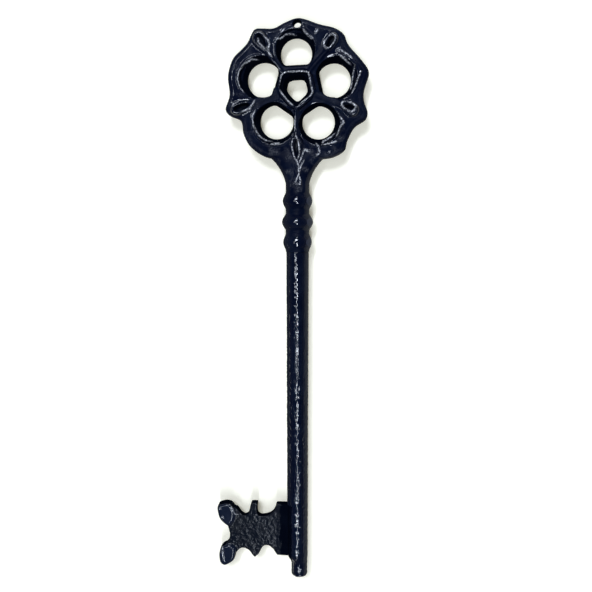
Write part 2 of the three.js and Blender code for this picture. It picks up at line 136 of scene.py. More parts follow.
def add_node(nodes, kind, **values):
    """A node with its properties and its inputs set, an input's name written with _ for each space."""
    node = nodes.new("ShaderNode" + kind)
    for key, value in values.items():
        if hasattr(node, key):
            setattr(node, key, value)
        else:
            node.inputs[key.replace("_", " ")].default_value = value
    return node


# %% Table
TABLE_HALF = 3.0
TABLE_COLOUR = (0.86, 0.83, 0.74, 1)
TABLE_GLOW = 0.30
GLOW_COLOUR = (1, 0.98, 0.80, 1)

table_mesh = bmesh.new()
bmesh.ops.create_grid(table_mesh, x_segments=1, y_segments=1, size=TABLE_HALF)
table_data = bpy.data.meshes.new("table")
table_mesh.to_mesh(table_data)
table_mesh.free()
table = bpy.data.objects.new("table", table_data)
scene.collection.objects.link(table)

table_paint, nodes, links = new_material("white_table")
matt = add_node(nodes, "BsdfDiffuse", Color=TABLE_COLOUR)
rays = add_node(nodes, "LightPath")
seen = add_node(nodes, "Math", operation="MAXIMUM")
seen_or_glass = add_node(nodes, "Math", operation="MAXIMUM")
glow_strength = add_node(nodes, "Math", operation="MULTIPLY")
glow_strength.inputs[1].default_value = TABLE_GLOW
glow = add_node(nodes, "Emission", Color=GLOW_COLOUR)
both = add_node(nodes, "AddShader")
links.new(rays.outputs["Is Camera Ray"], seen.inputs[0])
links.new(rays.outputs["Is Glossy Ray"], seen.inputs[1])
links.new(seen.outputs[0], seen_or_glass.inputs[0])
links.new(rays.outputs["Is Transmission Ray"], seen_or_glass.inputs[1])
links.new(seen_or_glass.outputs[0], glow_strength.inputs[0])
links.new(glow_strength.outputs[0], glow.inputs["Strength"])
links.new(matt.outputs[0], both.inputs[0])
links.new(glow.outputs[0], both.inputs[1])
links.new(both.outputs[0], nodes["out"].inputs["Surface"])
table_data.materials.append(table_paint)

print("table of %.0f m, glow %.2f" % (2 * TABLE_HALF, TABLE_GLOW))

# %% [markdown]
# ## The light
#
# Black gloss is lit by what it mirrors, so the lamps are placed by reading the highlights backwards. On a
# round bar or bead the place of a highlight gives the surface's tilt there, and twice that tilt gives the way
# to the lamp. Read like this, the light has four parts. A wide main lamp beyond the bow lights the upper
# slopes of the relief. A long thin lamp, brighter for a short stretch, runs from the left to far beyond the
# bow and draws the highlights of the beads. A row of spots runs from below the key's middle to far beyond its
# tip, which is where the shank mirrors the ceiling, and a short lamp joins it to the long one. The flat
# petals mirror none of them, so they stay black.
# The room adds a dim ceiling, which the paint mirrors between the lamps, and brighter walls, which give soft
# light from all round and show only in the steepest faces.

# %% Room
CEILING_GLOW = 0.03
WALL_GLOW = 0.10
WALLS_END = 0.40
CEILING_START = 0.62
ROOM_COLOUR = (0.9, 0.95, 1, 1)

room = bpy.data.worlds.new("room")
room.use_nodes = True
scene.world = room
nodes, links = room.node_tree.nodes, room.node_tree.links
direction = add_node(nodes, "TexCoord")
upwards = add_node(nodes, "SeparateXYZ")
walls = add_node(
    nodes, "MapRange", From_Min=WALLS_END, From_Max=CEILING_START, To_Min=WALL_GLOW, To_Max=CEILING_GLOW,
)
nodes["Background"].inputs["Color"].default_value = ROOM_COLOUR
links.new(direction.outputs["Generated"], upwards.inputs[0])
links.new(upwards.outputs["Z"], walls.inputs["Value"])
links.new(walls.outputs["Result"], nodes["Background"].inputs["Strength"])
scene.view_settings.view_transform = "Standard"

print("ceiling glow %.2f, wall glow %.2f" % (CEILING_GLOW, WALL_GLOW))

# %% Lamps
# Each lamp has its two ends on the ceiling, in metres from the key's middle, then its width and its glow.
LAMP_HEIGHT = 2.0
LAMP_COLOUR = (0.87, 0.94, 1.04)
LAMP_LINES = {
    "main lamp": ((-0.18, 0.92), (-0.18, 1.40), 0.58, 29),
    "long lamp, left part": ((-0.92, -0.14), (-0.46, 0.80), 0.05, 30),
    "long lamp, bright spot": ((-0.46, 0.82), (-0.36, 1.16), 0.09, 80),
    "long lamp, far part": ((-0.36, 1.18), (0.12, 2.50), 0.06, 30),
    "joining lamp": ((-0.92, -0.16), (0.06, -0.23), 0.05, 20),
}


def ceiling_lamp(name, start, end, width, glow):
    """A flat lamp overhead between two places that shines straight down."""
    a, b = Vector(start), Vector(end)
    data = bpy.data.lights.new(name, "AREA")
    data.shape = "RECTANGLE"
    data.size = width
    data.size_y = (b - a).length
    data.energy = glow * math.pi * data.size * data.size_y
    data.color = LAMP_COLOUR
    lamp = bpy.data.objects.new(name, data)
    scene.collection.objects.link(lamp)
    middle = (a + b) / 2
    lamp.location = (AXIS_X + middle.x, middle.y, MID_Z + LAMP_HEIGHT)
    lamp.rotation_euler = (0, 0, -math.atan2(b.x - a.x, b.y - a.y))
    return lamp


for name, (start, end, width, glow) in LAMP_LINES.items():
    lamp = ceiling_lamp(name, start, end, width, glow)
    print("%s: %.2f m long, %.0f W" % (name, lamp.data.size_y, lamp.data.energy))

# %% Spots for the shank
# A dimpled bar mirrors a row of spots as broken dots. Each spot is a little wider than the one before it,
# because the bar's highlight spreads towards the tip.
SPOTS = 8
SPOT_LINE = ((0.10, -0.23), (0.12, -1.54))
SPOT_LENGTH = 0.07
SPOT_WIDTH = 0.08
SPOT_WIDENING = 0.010
SPOT_GLOW = 112

first, last = (Vector(end) for end in SPOT_LINE)
stretch = (last - first).normalized() * SPOT_LENGTH / 2
for i in range(SPOTS):
    middle = first.lerp(last, (i + 0.5) / SPOTS)
    width = SPOT_WIDTH + SPOT_WIDENING * i
    ceiling_lamp("spot %d" % (i + 1), middle - stretch, middle + stretch, width, SPOT_GLOW)
print("%d spots in a row, the last one %.2f m wide" % (SPOTS, width))

# %% [markdown]
# ## Black paint on a casting
#
# The real finish is one thick coat of glossy black paint, with a blue cast, over sand-cast iron. Its colour
# hardly varies, so the eye reads the surface from broken highlights. The paint is a dark Principled shader.
# Two noise fields bend the normal, one about a millimetre across for the sand's grain and a finer one for the
# dried film, and slow noise drifts the colour and the roughness. Paint sprayed from the front lands on the
# steep flanks as dry, dull dust, so roughness also rises where the surface turns away from the front.
# The crests are painted pale grey: partly worn paint, partly painted highlights along them. Each point of a
# mesh can carry a number, and where it is high the colour turns to a pale grey in small patches. A number on
# the points follows the carving, which a noise alone couldn't do. The textures read Object coordinates, so
# the grain is real in size.

# %% Parts of the paint
PALE_WEAR_AND_HIGHLIGHT = (0.80, 0.81, 0.86)
PATCH_SIZE = 0.8 * MM
PATCH_ENDS = (0.45, 0.62)
PATCH_SHARES = (0.07, 1.15)
DRIFT_SCALE = 90
DRIFT_ENDS = (0.44, 0.78)
ROUGHNESS_ENDS = (0.3, 0.75)
ROUGHNESS_DRIFT = (-0.015, 0.025)
FLANK_TILTS = (0.80, 0.35)
FILM_SIZE_SHARE = 0.35
FILM_DEPTH_SHARE = 0.16


def noise_texture(nodes, links, scale, detail, roughness):
    """Noise that is fixed to the key and real in size."""
    where = add_node(nodes, "TexCoord")
    texture = add_node(nodes, "TexNoise", Scale=scale, Detail=detail, Roughness=roughness)
    links.new(where.outputs["Object"], texture.inputs["Vector"])
    return texture.outputs["Fac"]


def mapped(nodes, links, value, old_ends, new_ends):
    """A value moved from one range to another and held within it."""
    moved = add_node(
        nodes, "MapRange", From_Min=old_ends[0], From_Max=old_ends[1], To_Min=new_ends[0], To_Max=new_ends[1],
    )
    links.new(value, moved.inputs["Value"])
    return moved.outputs["Result"]


def drifting_colour(nodes, links, drift, colours):
    """Two colours of one paint that blend by the slow noise."""
    blend = add_node(nodes, "ValToRGB")
    for element, place, colour in zip(blend.color_ramp.elements, DRIFT_ENDS, colours):
        element.position = place
        element.color = (*colour, 1)
    links.new(drift, blend.inputs["Fac"])
    return blend.outputs["Color"]


def pale_wear_and_highlight(nodes, links, colour):
    """A colour turned pale in patches where the points' number is high: worn paint and painted highlights."""
    crest = add_node(nodes, "Attribute", attribute_name="wear_and_highlight")
    patchy = noise_texture(nodes, links, 1 / PATCH_SIZE, detail=4, roughness=0.7)
    patches = mapped(nodes, links, patchy, PATCH_ENDS, PATCH_SHARES)
    pale_share = add_node(nodes, "Math", operation="MULTIPLY", use_clamp=True)
    pale_colour = add_node(nodes, "Mix", data_type="RGBA")
    pale_colour.inputs["B"].default_value = (*PALE_WEAR_AND_HIGHLIGHT, 1)
    links.new(crest.outputs["Fac"], pale_share.inputs[0])
    links.new(patches, pale_share.inputs[1])
    links.new(pale_share.outputs[0], pale_colour.inputs["Factor"])
    links.new(colour, pale_colour.inputs["A"])
    return pale_colour.outputs["Result"]


def coat_roughness(nodes, links, drift, roughness, flank_dullness):
    """Roughness that drifts a little and rises where the surface turns away from the front."""
    gloss = mapped(nodes, links, drift, ROUGHNESS_ENDS, [roughness + change for change in ROUGHNESS_DRIFT])
    facing = add_node(nodes, "NewGeometry")
    height = add_node(nodes, "SeparateXYZ")
    dullness = add_node(nodes, "Math", operation="ADD")
    links.new(facing.outputs["Normal"], height.inputs[0])
    flank = mapped(nodes, links, height.outputs["Z"], FLANK_TILTS, (0, flank_dullness))
    links.new(gloss, dullness.inputs[0])
    links.new(flank, dullness.inputs[1])
    return dullness.outputs[0]


def cast_bumps(nodes, links, grain, grain_size):
    """The sand's grain, and on it the finer skin of the dried film, as a bent normal."""
    sand = noise_texture(nodes, links, 1 / (grain_size * MM), detail=3, roughness=0.55)
    film = noise_texture(nodes, links, 1 / (FILM_SIZE_SHARE * grain_size * MM), detail=2, roughness=0.5)
    coarse_bump = add_node(nodes, "Bump", Strength=1.0, Distance=grain * MM)
    fine_bump = add_node(nodes, "Bump", Strength=1.0, Distance=FILM_DEPTH_SHARE * grain * MM)
    links.new(sand, coarse_bump.inputs["Height"])
    links.new(film, fine_bump.inputs["Height"])
    links.new(coarse_bump.outputs["Normal"], fine_bump.inputs["Normal"])
    return fine_bump.outputs["Normal"]


# %% [markdown]
# ## The coats of the key
#
# One function puts the parts together, and ten coats come from it. The bow, the beads and the shank have the
# full gloss. The bit is satin, because its rough sides hold the paint less well, and its lobes are a bit
# smoother. Grooves and flanks got little paint or only dust. The walls of the holes and other recesses get
# painted shade, a darker coat with no shine, and the right side of each bead a paler band of painted
# reflection. The coats differ in their two colours, their roughness, and the depth and size of their grain in
# millimetres.

# %% Paints
def paint(name, colours, roughness, grain, grain_size, shine=0.5, flank_dullness=0.45):
    """A coat of paint with two colours that drift into each other."""
    made, nodes, links = new_material(name)
    drift = noise_texture(nodes, links, DRIFT_SCALE, detail=5, roughness=0.65)
    plain_colour = drifting_colour(nodes, links, drift, colours)
    coat = add_node(nodes, "BsdfPrincipled", Metallic=0, IOR=1.5, Specular_IOR_Level=shine)
    links.new(pale_wear_and_highlight(nodes, links, plain_colour), coat.inputs["Base Color"])
    links.new(coat_roughness(nodes, links, drift, roughness, flank_dullness), coat.inputs["Roughness"])
    links.new(cast_bumps(nodes, links, grain, grain_size), coat.inputs["Normal"])
    links.new(coat.outputs[0], nodes["out"].inputs["Surface"])
    return made


NAVY = ((0.0008, 0.0026, 0.0120), (0.0048, 0.0088, 0.0220))
SHADE_COLOURS = ((0.0010, 0.0020, 0.0055), (0.0022, 0.0036, 0.0085))
WARM = ((0.0040, 0.0060, 0.0115), (0.0130, 0.0142, 0.0180))
REFLECTION_BAND = ((0.0170, 0.0210, 0.0400), (0.0360, 0.0400, 0.0600))
LOBE = ((0.0045, 0.0085, 0.0215), (0.0115, 0.0160, 0.0320))

bow_paint = paint("bow_paint", NAVY, 0.07, 0.012, 1.3)
collar_paint = paint("collar_paint", NAVY, 0.07, 0.035, 1.5)
groove_paint = paint("groove_paint", NAVY, 0.40, 0.08, 1.4, shine=0.05)
shank_paint = paint("shank_paint", NAVY, 0.07, 0.025, 1.4)
bit_paint = paint("bit_paint", WARM, 0.18, 0.14, 1.2, shine=0.10)
lobe_paint = paint("lobe_paint", LOBE, 0.14, 0.03, 1.4, shine=0.3)
# Painted shade: a darker coat with no shine, for recesses, the bit's steep sides and where shank and bit
# meet.
painted_shade = paint("painted_shade", SHADE_COLOURS, 0.55, 0.10, 1.6, shine=0, flank_dullness=0.3)
dusty_paint = paint("dusty_paint", NAVY, 0.50, 0.10, 1.4, shine=0.06, flank_dullness=0.3)
flank_paint = paint("flank_paint", NAVY, 0.42, 0.10, 1.2, shine=0.2, flank_dullness=0.25)
# Painted reflection: a paler band for the right side of each bead.
reflection_band_paint = paint("reflection_band_paint", REFLECTION_BAND, 0.42, 0.10, 1.2, shine=0.2, flank_dullness=0.25)
print("paints:", [m.name for m in bpy.data.materials])

# %% [markdown]
# ## From solids to castings
#
# A CAD solid has knife-sharp junctions, but iron poured in sand has a small fillet everywhere and paint fills
# it further. Bevels on every edge would be one way. Rebuilding the skin on a fine voxel grid and relaxing it
# is simpler, because it reaches every junction at once. The copy is merged first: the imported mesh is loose
# triangles, and the Remesh modifier needs one closed skin.

# %% Making a piece and recasting its skin
MERGE = 0.001 * MM
RELAX_FACTOR = 0.5


def new_piece(name, bm, material, node):
    """A mesh object from a bmesh, painted, riding on the key's one body and standing for a CAD node."""
    data = bpy.data.meshes.new(name)
    bm.to_mesh(data)
    bm.free()
    piece = bpy.data.objects.new(name, data)
    scene.collection.objects.link(piece)
    data.materials.append(material)
    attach(piece, "root")
    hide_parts(node)
    return piece


def copy_of(node):
    """The CAD node's mesh with its loose triangles merged."""
    bm = bmesh.new()
    bm.from_mesh(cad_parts[node].data)
    bmesh.ops.remove_doubles(bm, verts=bm.verts, dist=MERGE)
    return bm


def apply_modifiers(piece):
    """Bakes a piece's modifiers into its mesh."""
    material = piece.data.materials[0]
    seen = piece.evaluated_get(bpy.context.evaluated_depsgraph_get())
    baked = bpy.data.meshes.new_from_object(seen)
    baked.name = piece.name
    baked.materials.clear()
    baked.materials.append(material)
    piece.modifiers.clear()
    piece.data = baked
    baked.shade_smooth()


def add_relax(piece, passes):
    """A modifier that evens out a piece's skin."""
    relax = piece.modifiers.new("relax", "SMOOTH")
    relax.factor = RELAX_FACTOR
    relax.iterations = passes


def recast(piece, voxel, passes):
    """Rebuilds a piece's skin on a voxel grid and relaxes it, like sand and paint do."""
    grid = piece.modifiers.new("voxel", "REMESH")
    grid.mode = "VOXEL"
    grid.voxel_size = voxel
    add_relax(piece, passes)
    apply_modifiers(piece)


# %% Reading and moving the points of a skin
DENT_CONTRAST = 0.9


def read_points(piece):
    """The points and normals of a piece's mesh as two arrays."""
    data = piece.data
    points = np.empty(len(data.vertices) * 3)
    normals = np.empty(len(data.vertices) * 3)
    data.vertices.foreach_get("co", points)
    data.vertices.foreach_get("normal", normals)
    return points.reshape(-1, 3), normals.reshape(-1, 3)


def write_points(piece, points):
    """Moves the points of a piece's mesh to new places."""
    piece.data.vertices.foreach_set("co", points.ravel())
    piece.data.update()


def plan_view(points):
    """Places seen from the front, in millimetres from the middle of the rosette."""
    return (points[:, :2] - np.array(BOW_MIDDLE)[:2]) / MM


def ramp(values, start, end):
    """How far each value has come from a start to an end, held between 0 and 1."""
    return np.clip((values - start) / (end - start), 0, 1)


def waves(points, size, seed):
    """Smooth noise from -1 to 1 at each point, with features of about the given size."""
    shift = Vector((seed, 2.7 * seed, 4.1 * seed))
    return np.array([noise.noise(Vector(p) / size + shift) for p in points])


def roughen(piece, depth, size, seed, share=1):
    """Pushes a piece's skin inwards by up to depth, in soft dents, so that it stays inside its solid. Depth
    and size are in millimetres."""
    points, normals = read_points(piece)
    dents = np.clip(0.5 - DENT_CONTRAST * waves(points, size * MM, seed), 0, 1)
    write_points(piece, points - normals * (depth * MM * share * dents)[:, None])


def mark_wear_and_highlight(piece, values):
    """Stores a number on each point of a piece for its paint to read: pale worn paint and painted highlights.
    """
    layer = piece.data.attributes.new("wear_and_highlight", "FLOAT", "POINT")
    layer.data.foreach_set("value", np.clip(values, 0, 1).astype(np.float32))


# %% [markdown]
# ## The bow
#
# The rosette is five petals, each pierced by a bowl-shaped hole, and between them five sepals with a raised
# loop. The CAD solid has the plate, bowls, ribs, loops and the five-sided hub, all with crisp edges. The copy
# keeps its places and gets a founder's softness from the voxel skin. The end of the neck is run on a little
# towards the upper bead, so that no gap shows between them once the skin has been relaxed.

# %% Bow
NECK_OVERRUN = 0.8 * MM
NECK_END = 0.05 * MM
BOW_VOXEL = 0.38 * MM
CAST_PASSES = 4

bow_mesh = copy_of("bow")
neck_end = [v for v in bow_mesh.verts if v.co.y < NECK_Y + NECK_END]
bmesh.ops.translate(bow_mesh, verts=neck_end, vec=(0, -NECK_OVERRUN, 0))
bow = new_piece("bow_casting", bow_mesh, bow_paint, "bow")
recast(bow, BOW_VOXEL, CAST_PASSES)
print("bow:", len(bow.data.polygons), "faces")

# %% [markdown]
# ## Carving the relief
#
# The foundry's pattern was carved, and its petals carry short ridges that no two share: rims beside the
# holes, a pair of strokes on the right petal, the leaf's veins. Each is a line on the face, drawn in
# millimetres from the rosette's middle, with a half width and a height. Every point of the front near a line
# is lifted by a smooth crest that fades at its ends. Moving the skin's points, as a sculpting brush does,
# keeps the casting one closed surface.

# %% Ridges on the face
RIDGES = {
    "hub": (
        [(-8.9, -0.3), (-8.3, 2.9), (-7.6, 6.0), (-5.8, 7.7), (-2.3, 7.7), (3.2, 7.8), (5.9, 7.4), (6.4, 4.5),
         (7.1, 1.2), (8.0, -2.7), (6.7, -4.1), (2.7, -6.7), (0.7, -8.9), (-0.9, -11.3)], 0.8, 0.5),
    "hub, lower left": ([(-8.9, -0.3), (-6.8, -3.4), (-4.3, -6.4), (-1.1, -9.1)], 0.8, 0.5),
    "top petal's rim": (
        [(-11.4, 21.7), (-9.9, 23.8), (-8.4, 23.9), (-5.9, 26.0), (-3.4, 26.5), (0.1, 25.9)], 0.7, 0.5),
    "upper petal": ([(2.6, 28.5), (4.1, 26.8), (6.0, 24.9), (8.3, 23.2)], 0.9, 1.0),
    "upper petal, short stroke": ([(9.2, 25.9), (10.5, 28.0)], 0.8, 0.4),
    "upper petal, faint stroke": ([(-8.1, 26.5), (-5.9, 28.8)], 0.7, 0.3),
    "neck strap, left": ([(-0.3, -34.4), (1.0, -38.4), (1.2, -42.9), (2.0, -45.4), (2.0, -48.4)], 0.7, 0.3),
    "neck strap, right": ([(4.3, -34.4), (2.2, -38.4), (1.0, -42.9), (-0.3, -45.9), (-1.6, -47.9)], 0.7, 0.3),
    "neck link": ([(-0.6, -47.1), (2.0, -47.6)], 0.6, 0.2),
    "right petal, outer stroke": ([(19.9, 17.4), (21.4, 18.0), (24.3, 16.1), (27.8, 13.9)], 0.9, 0.7),
    "right petal, inner stroke": ([(20.4, 16.0), (23.9, 13.5), (27.2, 10.6)], 0.9, 0.7),
    "right rim": ([(28.8, 11.1), (28.4, 8.7), (27.9, 6.8), (27.2, 3.0), (26.5, -1.3)], 0.8, 0.7),
    "right outer rim": ([(31.8, 7.2), (30.2, 3.9), (28.7, -0.4), (27.4, -2.8)], 0.8, 0.6),
    "left rim": (
        [(-18.5, 14.4), (-22.7, 14.4), (-26.6, 12.1), (-29.2, 8.4), (-30.0, 4.9), (-28.8, 0.7),
         (-26.8, -1.7)], 0.7, 0.9),
    "lower left rim": (
        [(-20.4, -9.1), (-22.6, -13.2), (-22.2, -17.7), (-19.7, -22.7), (-16.3, -25.2), (-12.0, -25.8)],
        0.8, 0.5),
    "lower left patch": ([(-13.7, -27.4), (-11.2, -27.0), (-8.6, -26.7)], 1.2, 0.8),
    "lower right, outer": ([(21.2, -13.3), (23.7, -17.0), (22.0, -18.9), (19.8, -24.1)], 1.0, 1.1),
    "lower right, rim": ([(19.4, -21.8), (16.4, -24.2), (13.2, -25.9), (12.6, -27.6)], 1.0, 1.1),
    "lower right, stroke": ([(12.7, -27.9), (16.8, -27.2), (20.8, -25.9)], 0.8, 0.6),
    "rib between the lower holes": ([(-0.9, -13.0), (-1.0, -18.0), (-1.1, -21.7)], 0.6, 0.4),
    "leaf, right edge": ([(-1.1, -21.7), (0.7, -26.2), (1.4, -32.0), (0.3, -36.1)], 0.8, 0.9),
    "leaf, left edge": ([(-1.9, -23.9), (-2.7, -27.8), (-1.6, -32.8), (-0.1, -36.8)], 0.7, 0.5),
    "vein to the right": ([(1.1, -37.3), (2.6, -33.6), (3.8, -30.6), (7.1, -31.1)], 0.7, 0.5),
    "far vein": ([(9.2, -26.2), (11.2, -28.9), (11.5, -31.9), (9.2, -33.9)], 0.8, 0.6),
    "stud": ([(16.4, -31.6), (16.9, -31.9)], 0.8, 0.5),
    "upper left loop": (
        [(-16.8, 25.5), (-15.3, 24.3), (-14.3, 23.1), (-13.8, 21.2), (-14.1, 19.3), (-14.3, 17.9),
         (-13.3, 16.4), (-11.8, 14.5)], 1.0, 0.6),
    "upper left loop, far side": ([(-19.8, 25.1), (-19.3, 22.3), (-17.3, 20.3), (-15.3, 18.9)], 0.9, 0.3),
    "upper right loop": (
        [(15.0, 23.7), (15.9, 24.3), (17.4, 25.5), (18.9, 24.3), (18.9, 22.9), (17.9, 21.0), (16.5, 19.4),
         (14.5, 18.5), (13.3, 20.4), (13.5, 22.0), (15.0, 23.7), (15.9, 24.3)], 1.0, 0.5),
    "left loop": ([(-21.1, -5.1), (-22.3, -8.0), (-24.1, -10.0), (-26.2, -10.9), (-28.8, -11.6)], 1.0, 0.6),
    "left loop, far side": ([(-32.8, -8.9), (-32.3, -7.4), (-30.7, -6.5), (-29.2, -6.0)], 0.8, 0.5),
    "right loop": (
        [(23.6, -6.7), (25.6, -7.0), (27.1, -7.3), (28.6, -8.2), (29.6, -9.5), (28.6, -11.1), (27.1, -11.8),
         (25.6, -11.1), (23.6, -10.1), (22.4, -8.6), (22.6, -7.2), (23.6, -6.7), (25.6, -7.0)], 1.1, 0.7),
}
LIFT_TILTS = (0.3, 0.8)
VIEW_TILTS = (0.1, 0.3)
CREST_POWER = 1.3
RIDGE_END_SHARE = 0.25
RIDGE_FADE_SHARE = 1 / 6


def distance_to(plan, start, end):
    """How far along a straight stroke each place lies, from 0 to 1, and how far away from it."""
    start, step = np.array(start), np.array(end) - np.array(start)
    along = np.clip((plan - start) @ step / (step @ step), 0, 1)
    return along, np.hypot(*(plan - start - along[:, None] * step).T)


def raise_ridges(piece, ridges):
    """Lifts the front of a piece along lines, and gives how near each point is to a crest."""
    points, normals = read_points(piece)
    plan = plan_view(points)
    lifted = ramp(normals[:, 2], *LIFT_TILTS) * (points[:, 2] > MID_Z)
    in_view = ramp(normals[:, 2], *VIEW_TILTS) * (points[:, 2] > MID_Z)
    crests = np.zeros(len(points))
    for line, half, height in ridges.values():
        crest = np.zeros(len(points))
        total = sum(math.dist(p, q) for p, q in zip(line, line[1:]))
        before = 0
        for p, q in zip(line, line[1:]):
            along, away = distance_to(plan, p, q)
            place = (before + along * math.dist(p, q)) / total
            from_end = np.minimum(place, 1 - place) / RIDGE_FADE_SHARE
            fade = np.clip(RIDGE_END_SHARE + (1 - RIDGE_END_SHARE) * from_end, 0, 1)
            crest = np.maximum(crest, fade * np.clip(1 - away / half, 0, 1) ** CREST_POWER)
            before += math.dist(p, q)
        points[:, 2] += height * MM * crest * lifted
        crests = np.maximum(crests, crest * in_view)
    write_points(piece, points)
    return crests


crests = raise_ridges(bow, RIDGES)
print("%d ridges on the bow" % len(RIDGES))

# %% [markdown]
# ## Crisp edges, and pale marks for worn paint and highlights
#
# The voxel skin is a little too soft for the loops and ribs, whose rims catch thin lines of light. Unsharp
# masking helps: the skin is compared with a smoother copy of itself, and what differs from that copy is made
# to differ more. The same measure tells what stands proud, and there the paint is marked pale: partly paint
# worn by hands and cloths, partly painted highlights on the crests. Three ribs that stay dark in the
# photograph get no pale mark. Faint pale patches lie on the flat faces, most of them on the lower petals:
# scuff marks and painted sheen.

# %% Crisp edges
CRISP_PASSES = 9
CRISPNESS = 0.7
CRISP_TILTS = (0.2, 0.7)
CRISP_START = LAND_Z + 0.1 * MM
CRISP_BLEND = 0.3 * MM


def crisp(piece, passes, share, above):
    """Sharpens what stands above a height, and gives how proud each point stood in millimetres."""
    points, normals = read_points(piece)
    add_relax(piece, passes)
    smoothed = piece.evaluated_get(bpy.context.evaluated_depsgraph_get())
    soft = np.empty(len(points) * 3)
    smoothed.data.vertices.foreach_get("co", soft)
    piece.modifiers.clear()
    proud = (points - soft.reshape(-1, 3))[:, 2]
    raised = ramp(points[:, 2], above, above + CRISP_BLEND)
    points[:, 2] += share * ramp(normals[:, 2], *CRISP_TILTS) * raised * proud
    write_points(piece, points)
    return proud / MM


def near_lines(plan, lines, reach):
    """How close places are to the closest of some straight lines, from 1 on a line to 0 at the reach."""
    near = np.zeros(len(plan))
    for start, end in lines:
        near = np.maximum(near, 1 - distance_to(plan, start, end)[1] / reach)
    return near


proud = crisp(bow, CRISP_PASSES, CRISPNESS, CRISP_START)
print("crisp edges stand up to %.2f mm proud" % proud.max())

# %% Worn edges, painted highlights and painted sheen
# Places, like those of the ridges, are in millimetres from the rosette's middle.
DIM_RIBS = [((-22.0, -7.0), (-10.5, -2.5)), ((13.0, 17.0), (8.0, 9.5)), ((20.5, -6.0), (9.5, -3.8))]
DIM_REACH = 3.5
PROUD_MARK_START = 0.08
PROUD_MARK_FULL = 0.22
CREST_MARK_ENDS = (0.3, 0.8)
RELIEF_START = LAND_Z + 0.15 * MM
RELIEF_FULL = LAND_Z + 0.45 * MM
HUB_END = (12, 14)
LOWER_PETALS = (-16, -24)
LEAST_SCUFF_AND_SHEEN = 0.3
FLAT_TILT = 0.8
SCUFF_AND_SHEEN_DEPTH = 0.07
SCUFF_AND_SHEEN_SIZE = 3.5 * MM
SCUFF_AND_SHEEN_WAVES = (-0.0625, 0.5625)

points, normals = read_points(bow)
plan = plan_view(points)
raised = ramp(points[:, 2], RELIEF_START, RELIEF_FULL)
beyond_hub = ramp(np.hypot(*plan.T), *HUB_END)
# The pale mark holds worn paint and painted highlights where the skin stands proud, and scuff marks with
# painted sheen on the flat faces.
proud_mark = (proud - PROUD_MARK_START) / (PROUD_MARK_FULL - PROUD_MARK_START)
worn_and_highlit_edges = raised * beyond_hub * proud_mark * (near_lines(plan, DIM_RIBS, DIM_REACH) <= 0)
scuff_and_sheen_share = np.maximum(ramp(plan[:, 1], *LOWER_PETALS), LEAST_SCUFF_AND_SHEEN) * (normals[:, 2] > FLAT_TILT)
scuff_and_sheen_marks = SCUFF_AND_SHEEN_DEPTH * scuff_and_sheen_share * ramp(waves(points, SCUFF_AND_SHEEN_SIZE, 15), *SCUFF_AND_SHEEN_WAVES)
mark_wear_and_highlight(bow, np.maximum(np.maximum(ramp(crests, *CREST_MARK_ENDS), worn_and_highlit_edges), scuff_and_sheen_marks))
roughen(bow, 0.04, 8, 3)

top = max(v.co.z for v in bow.data.vertices)
print("highest point of the bow %.2f mm of %.2f mm" % (top / MM, bow_high.z / MM))

# %% [markdown]
# ## Painted shade and dull places on the bow
#
# The walls of the holes, the hollows of the loops and the inside of the hub get painted shade: a darker paint
# with no shine that stands for the shade in these recesses. A wall is a steep face near the middle of a hole
# that looks towards that middle, so a few sums on each face find them all. The rounded outer edge, the neck,
# the bar above the hub and the three dim ribs are less shiny than the petals, and get the paint of the
# grooves.

# %% Reading and painting faces
def read_faces(piece):
    """The middles and normals of a piece's faces as two arrays."""
    faces = piece.data.polygons
    middles = np.empty(len(faces) * 3)
    normals = np.empty(len(faces) * 3)
    faces.foreach_get("center", middles)
    faces.foreach_get("normal", normals)
    return middles.reshape(-1, 3), normals.reshape(-1, 3)


def paint_faces(piece, marked, material):
    """Gives the marked faces of a piece another paint."""
    faces = piece.data.polygons
    piece.data.materials.append(material)
    slots = np.empty(len(faces), np.int32)
    faces.foreach_get("material_index", slots)
    slots[marked] = len(piece.data.materials) - 1
    faces.foreach_set("material_index", slots)
    piece.data.update()
    print("%s: %d faces in %s" % (piece.name, marked.sum(), material.name))


# %% Walls and hollows
HOLE_MIDDLES = {
    "top petal": (-0.7, 17.3), "left petal": (-16.9, 4.8), "lower left petal": (-10.7, -15.9),
    "lower right petal": (10.6, -16.4), "right petal": (18.2, 4.2), "hub": (0.0, 0.0),
    "hang hole": (0.0, 30.9),
}
HOLE_REACH = 12.5
STEEP = 0.62
# Middle of each loop, the turn of its length in degrees, and its half length and half width.
LOOPS = {
    "upper left": ((-17.5, 22.6), 119, 4.0, 1.6), "upper right": ((16.3, 21.8), 52, 3.3, 1.4),
    "left": ((-28.4, -8.6), 200, 4.0, 1.4), "right": ((25.9, -9.3), 345, 3.2, 1.4),
    "leaf": ((0, -30.0), 90, 5.2, 1.3),
}
HUB_CORNERS = [(-8.6, -0.3), (-7.3, 5.9), (-5.6, 7.3), (5.6, 7.1), (7.7, -2.7), (6.4, -4.1), (-0.9, -9.3)]


def hole_walls(plan, normals):
    """Marks the steep faces that look into a hole."""
    walls = np.zeros(len(plan), bool)
    for place in HOLE_MIDDLES.values():
        inward = np.array(place) - plan
        near = np.hypot(*inward.T) < HOLE_REACH
        walls |= near & ((inward * normals[:, :2]).sum(axis=1) > 0) & (np.abs(normals[:, 2]) < STEEP)
    return walls


def loop_hollows(plan):
    """Marks the places in the hollows of the loops, each an ellipse about the loop's middle."""
    hollows = np.zeros(len(plan), bool)
    for place, lean, half_length, half_width in LOOPS.values():
        turn = math.radians(lean)
        away = plan - np.array(place)
        along = away @ (math.cos(turn), math.sin(turn)) / half_length
        across = away @ (-math.sin(turn), math.cos(turn)) / half_width
        hollows |= np.hypot(along, across) < 1
    return hollows


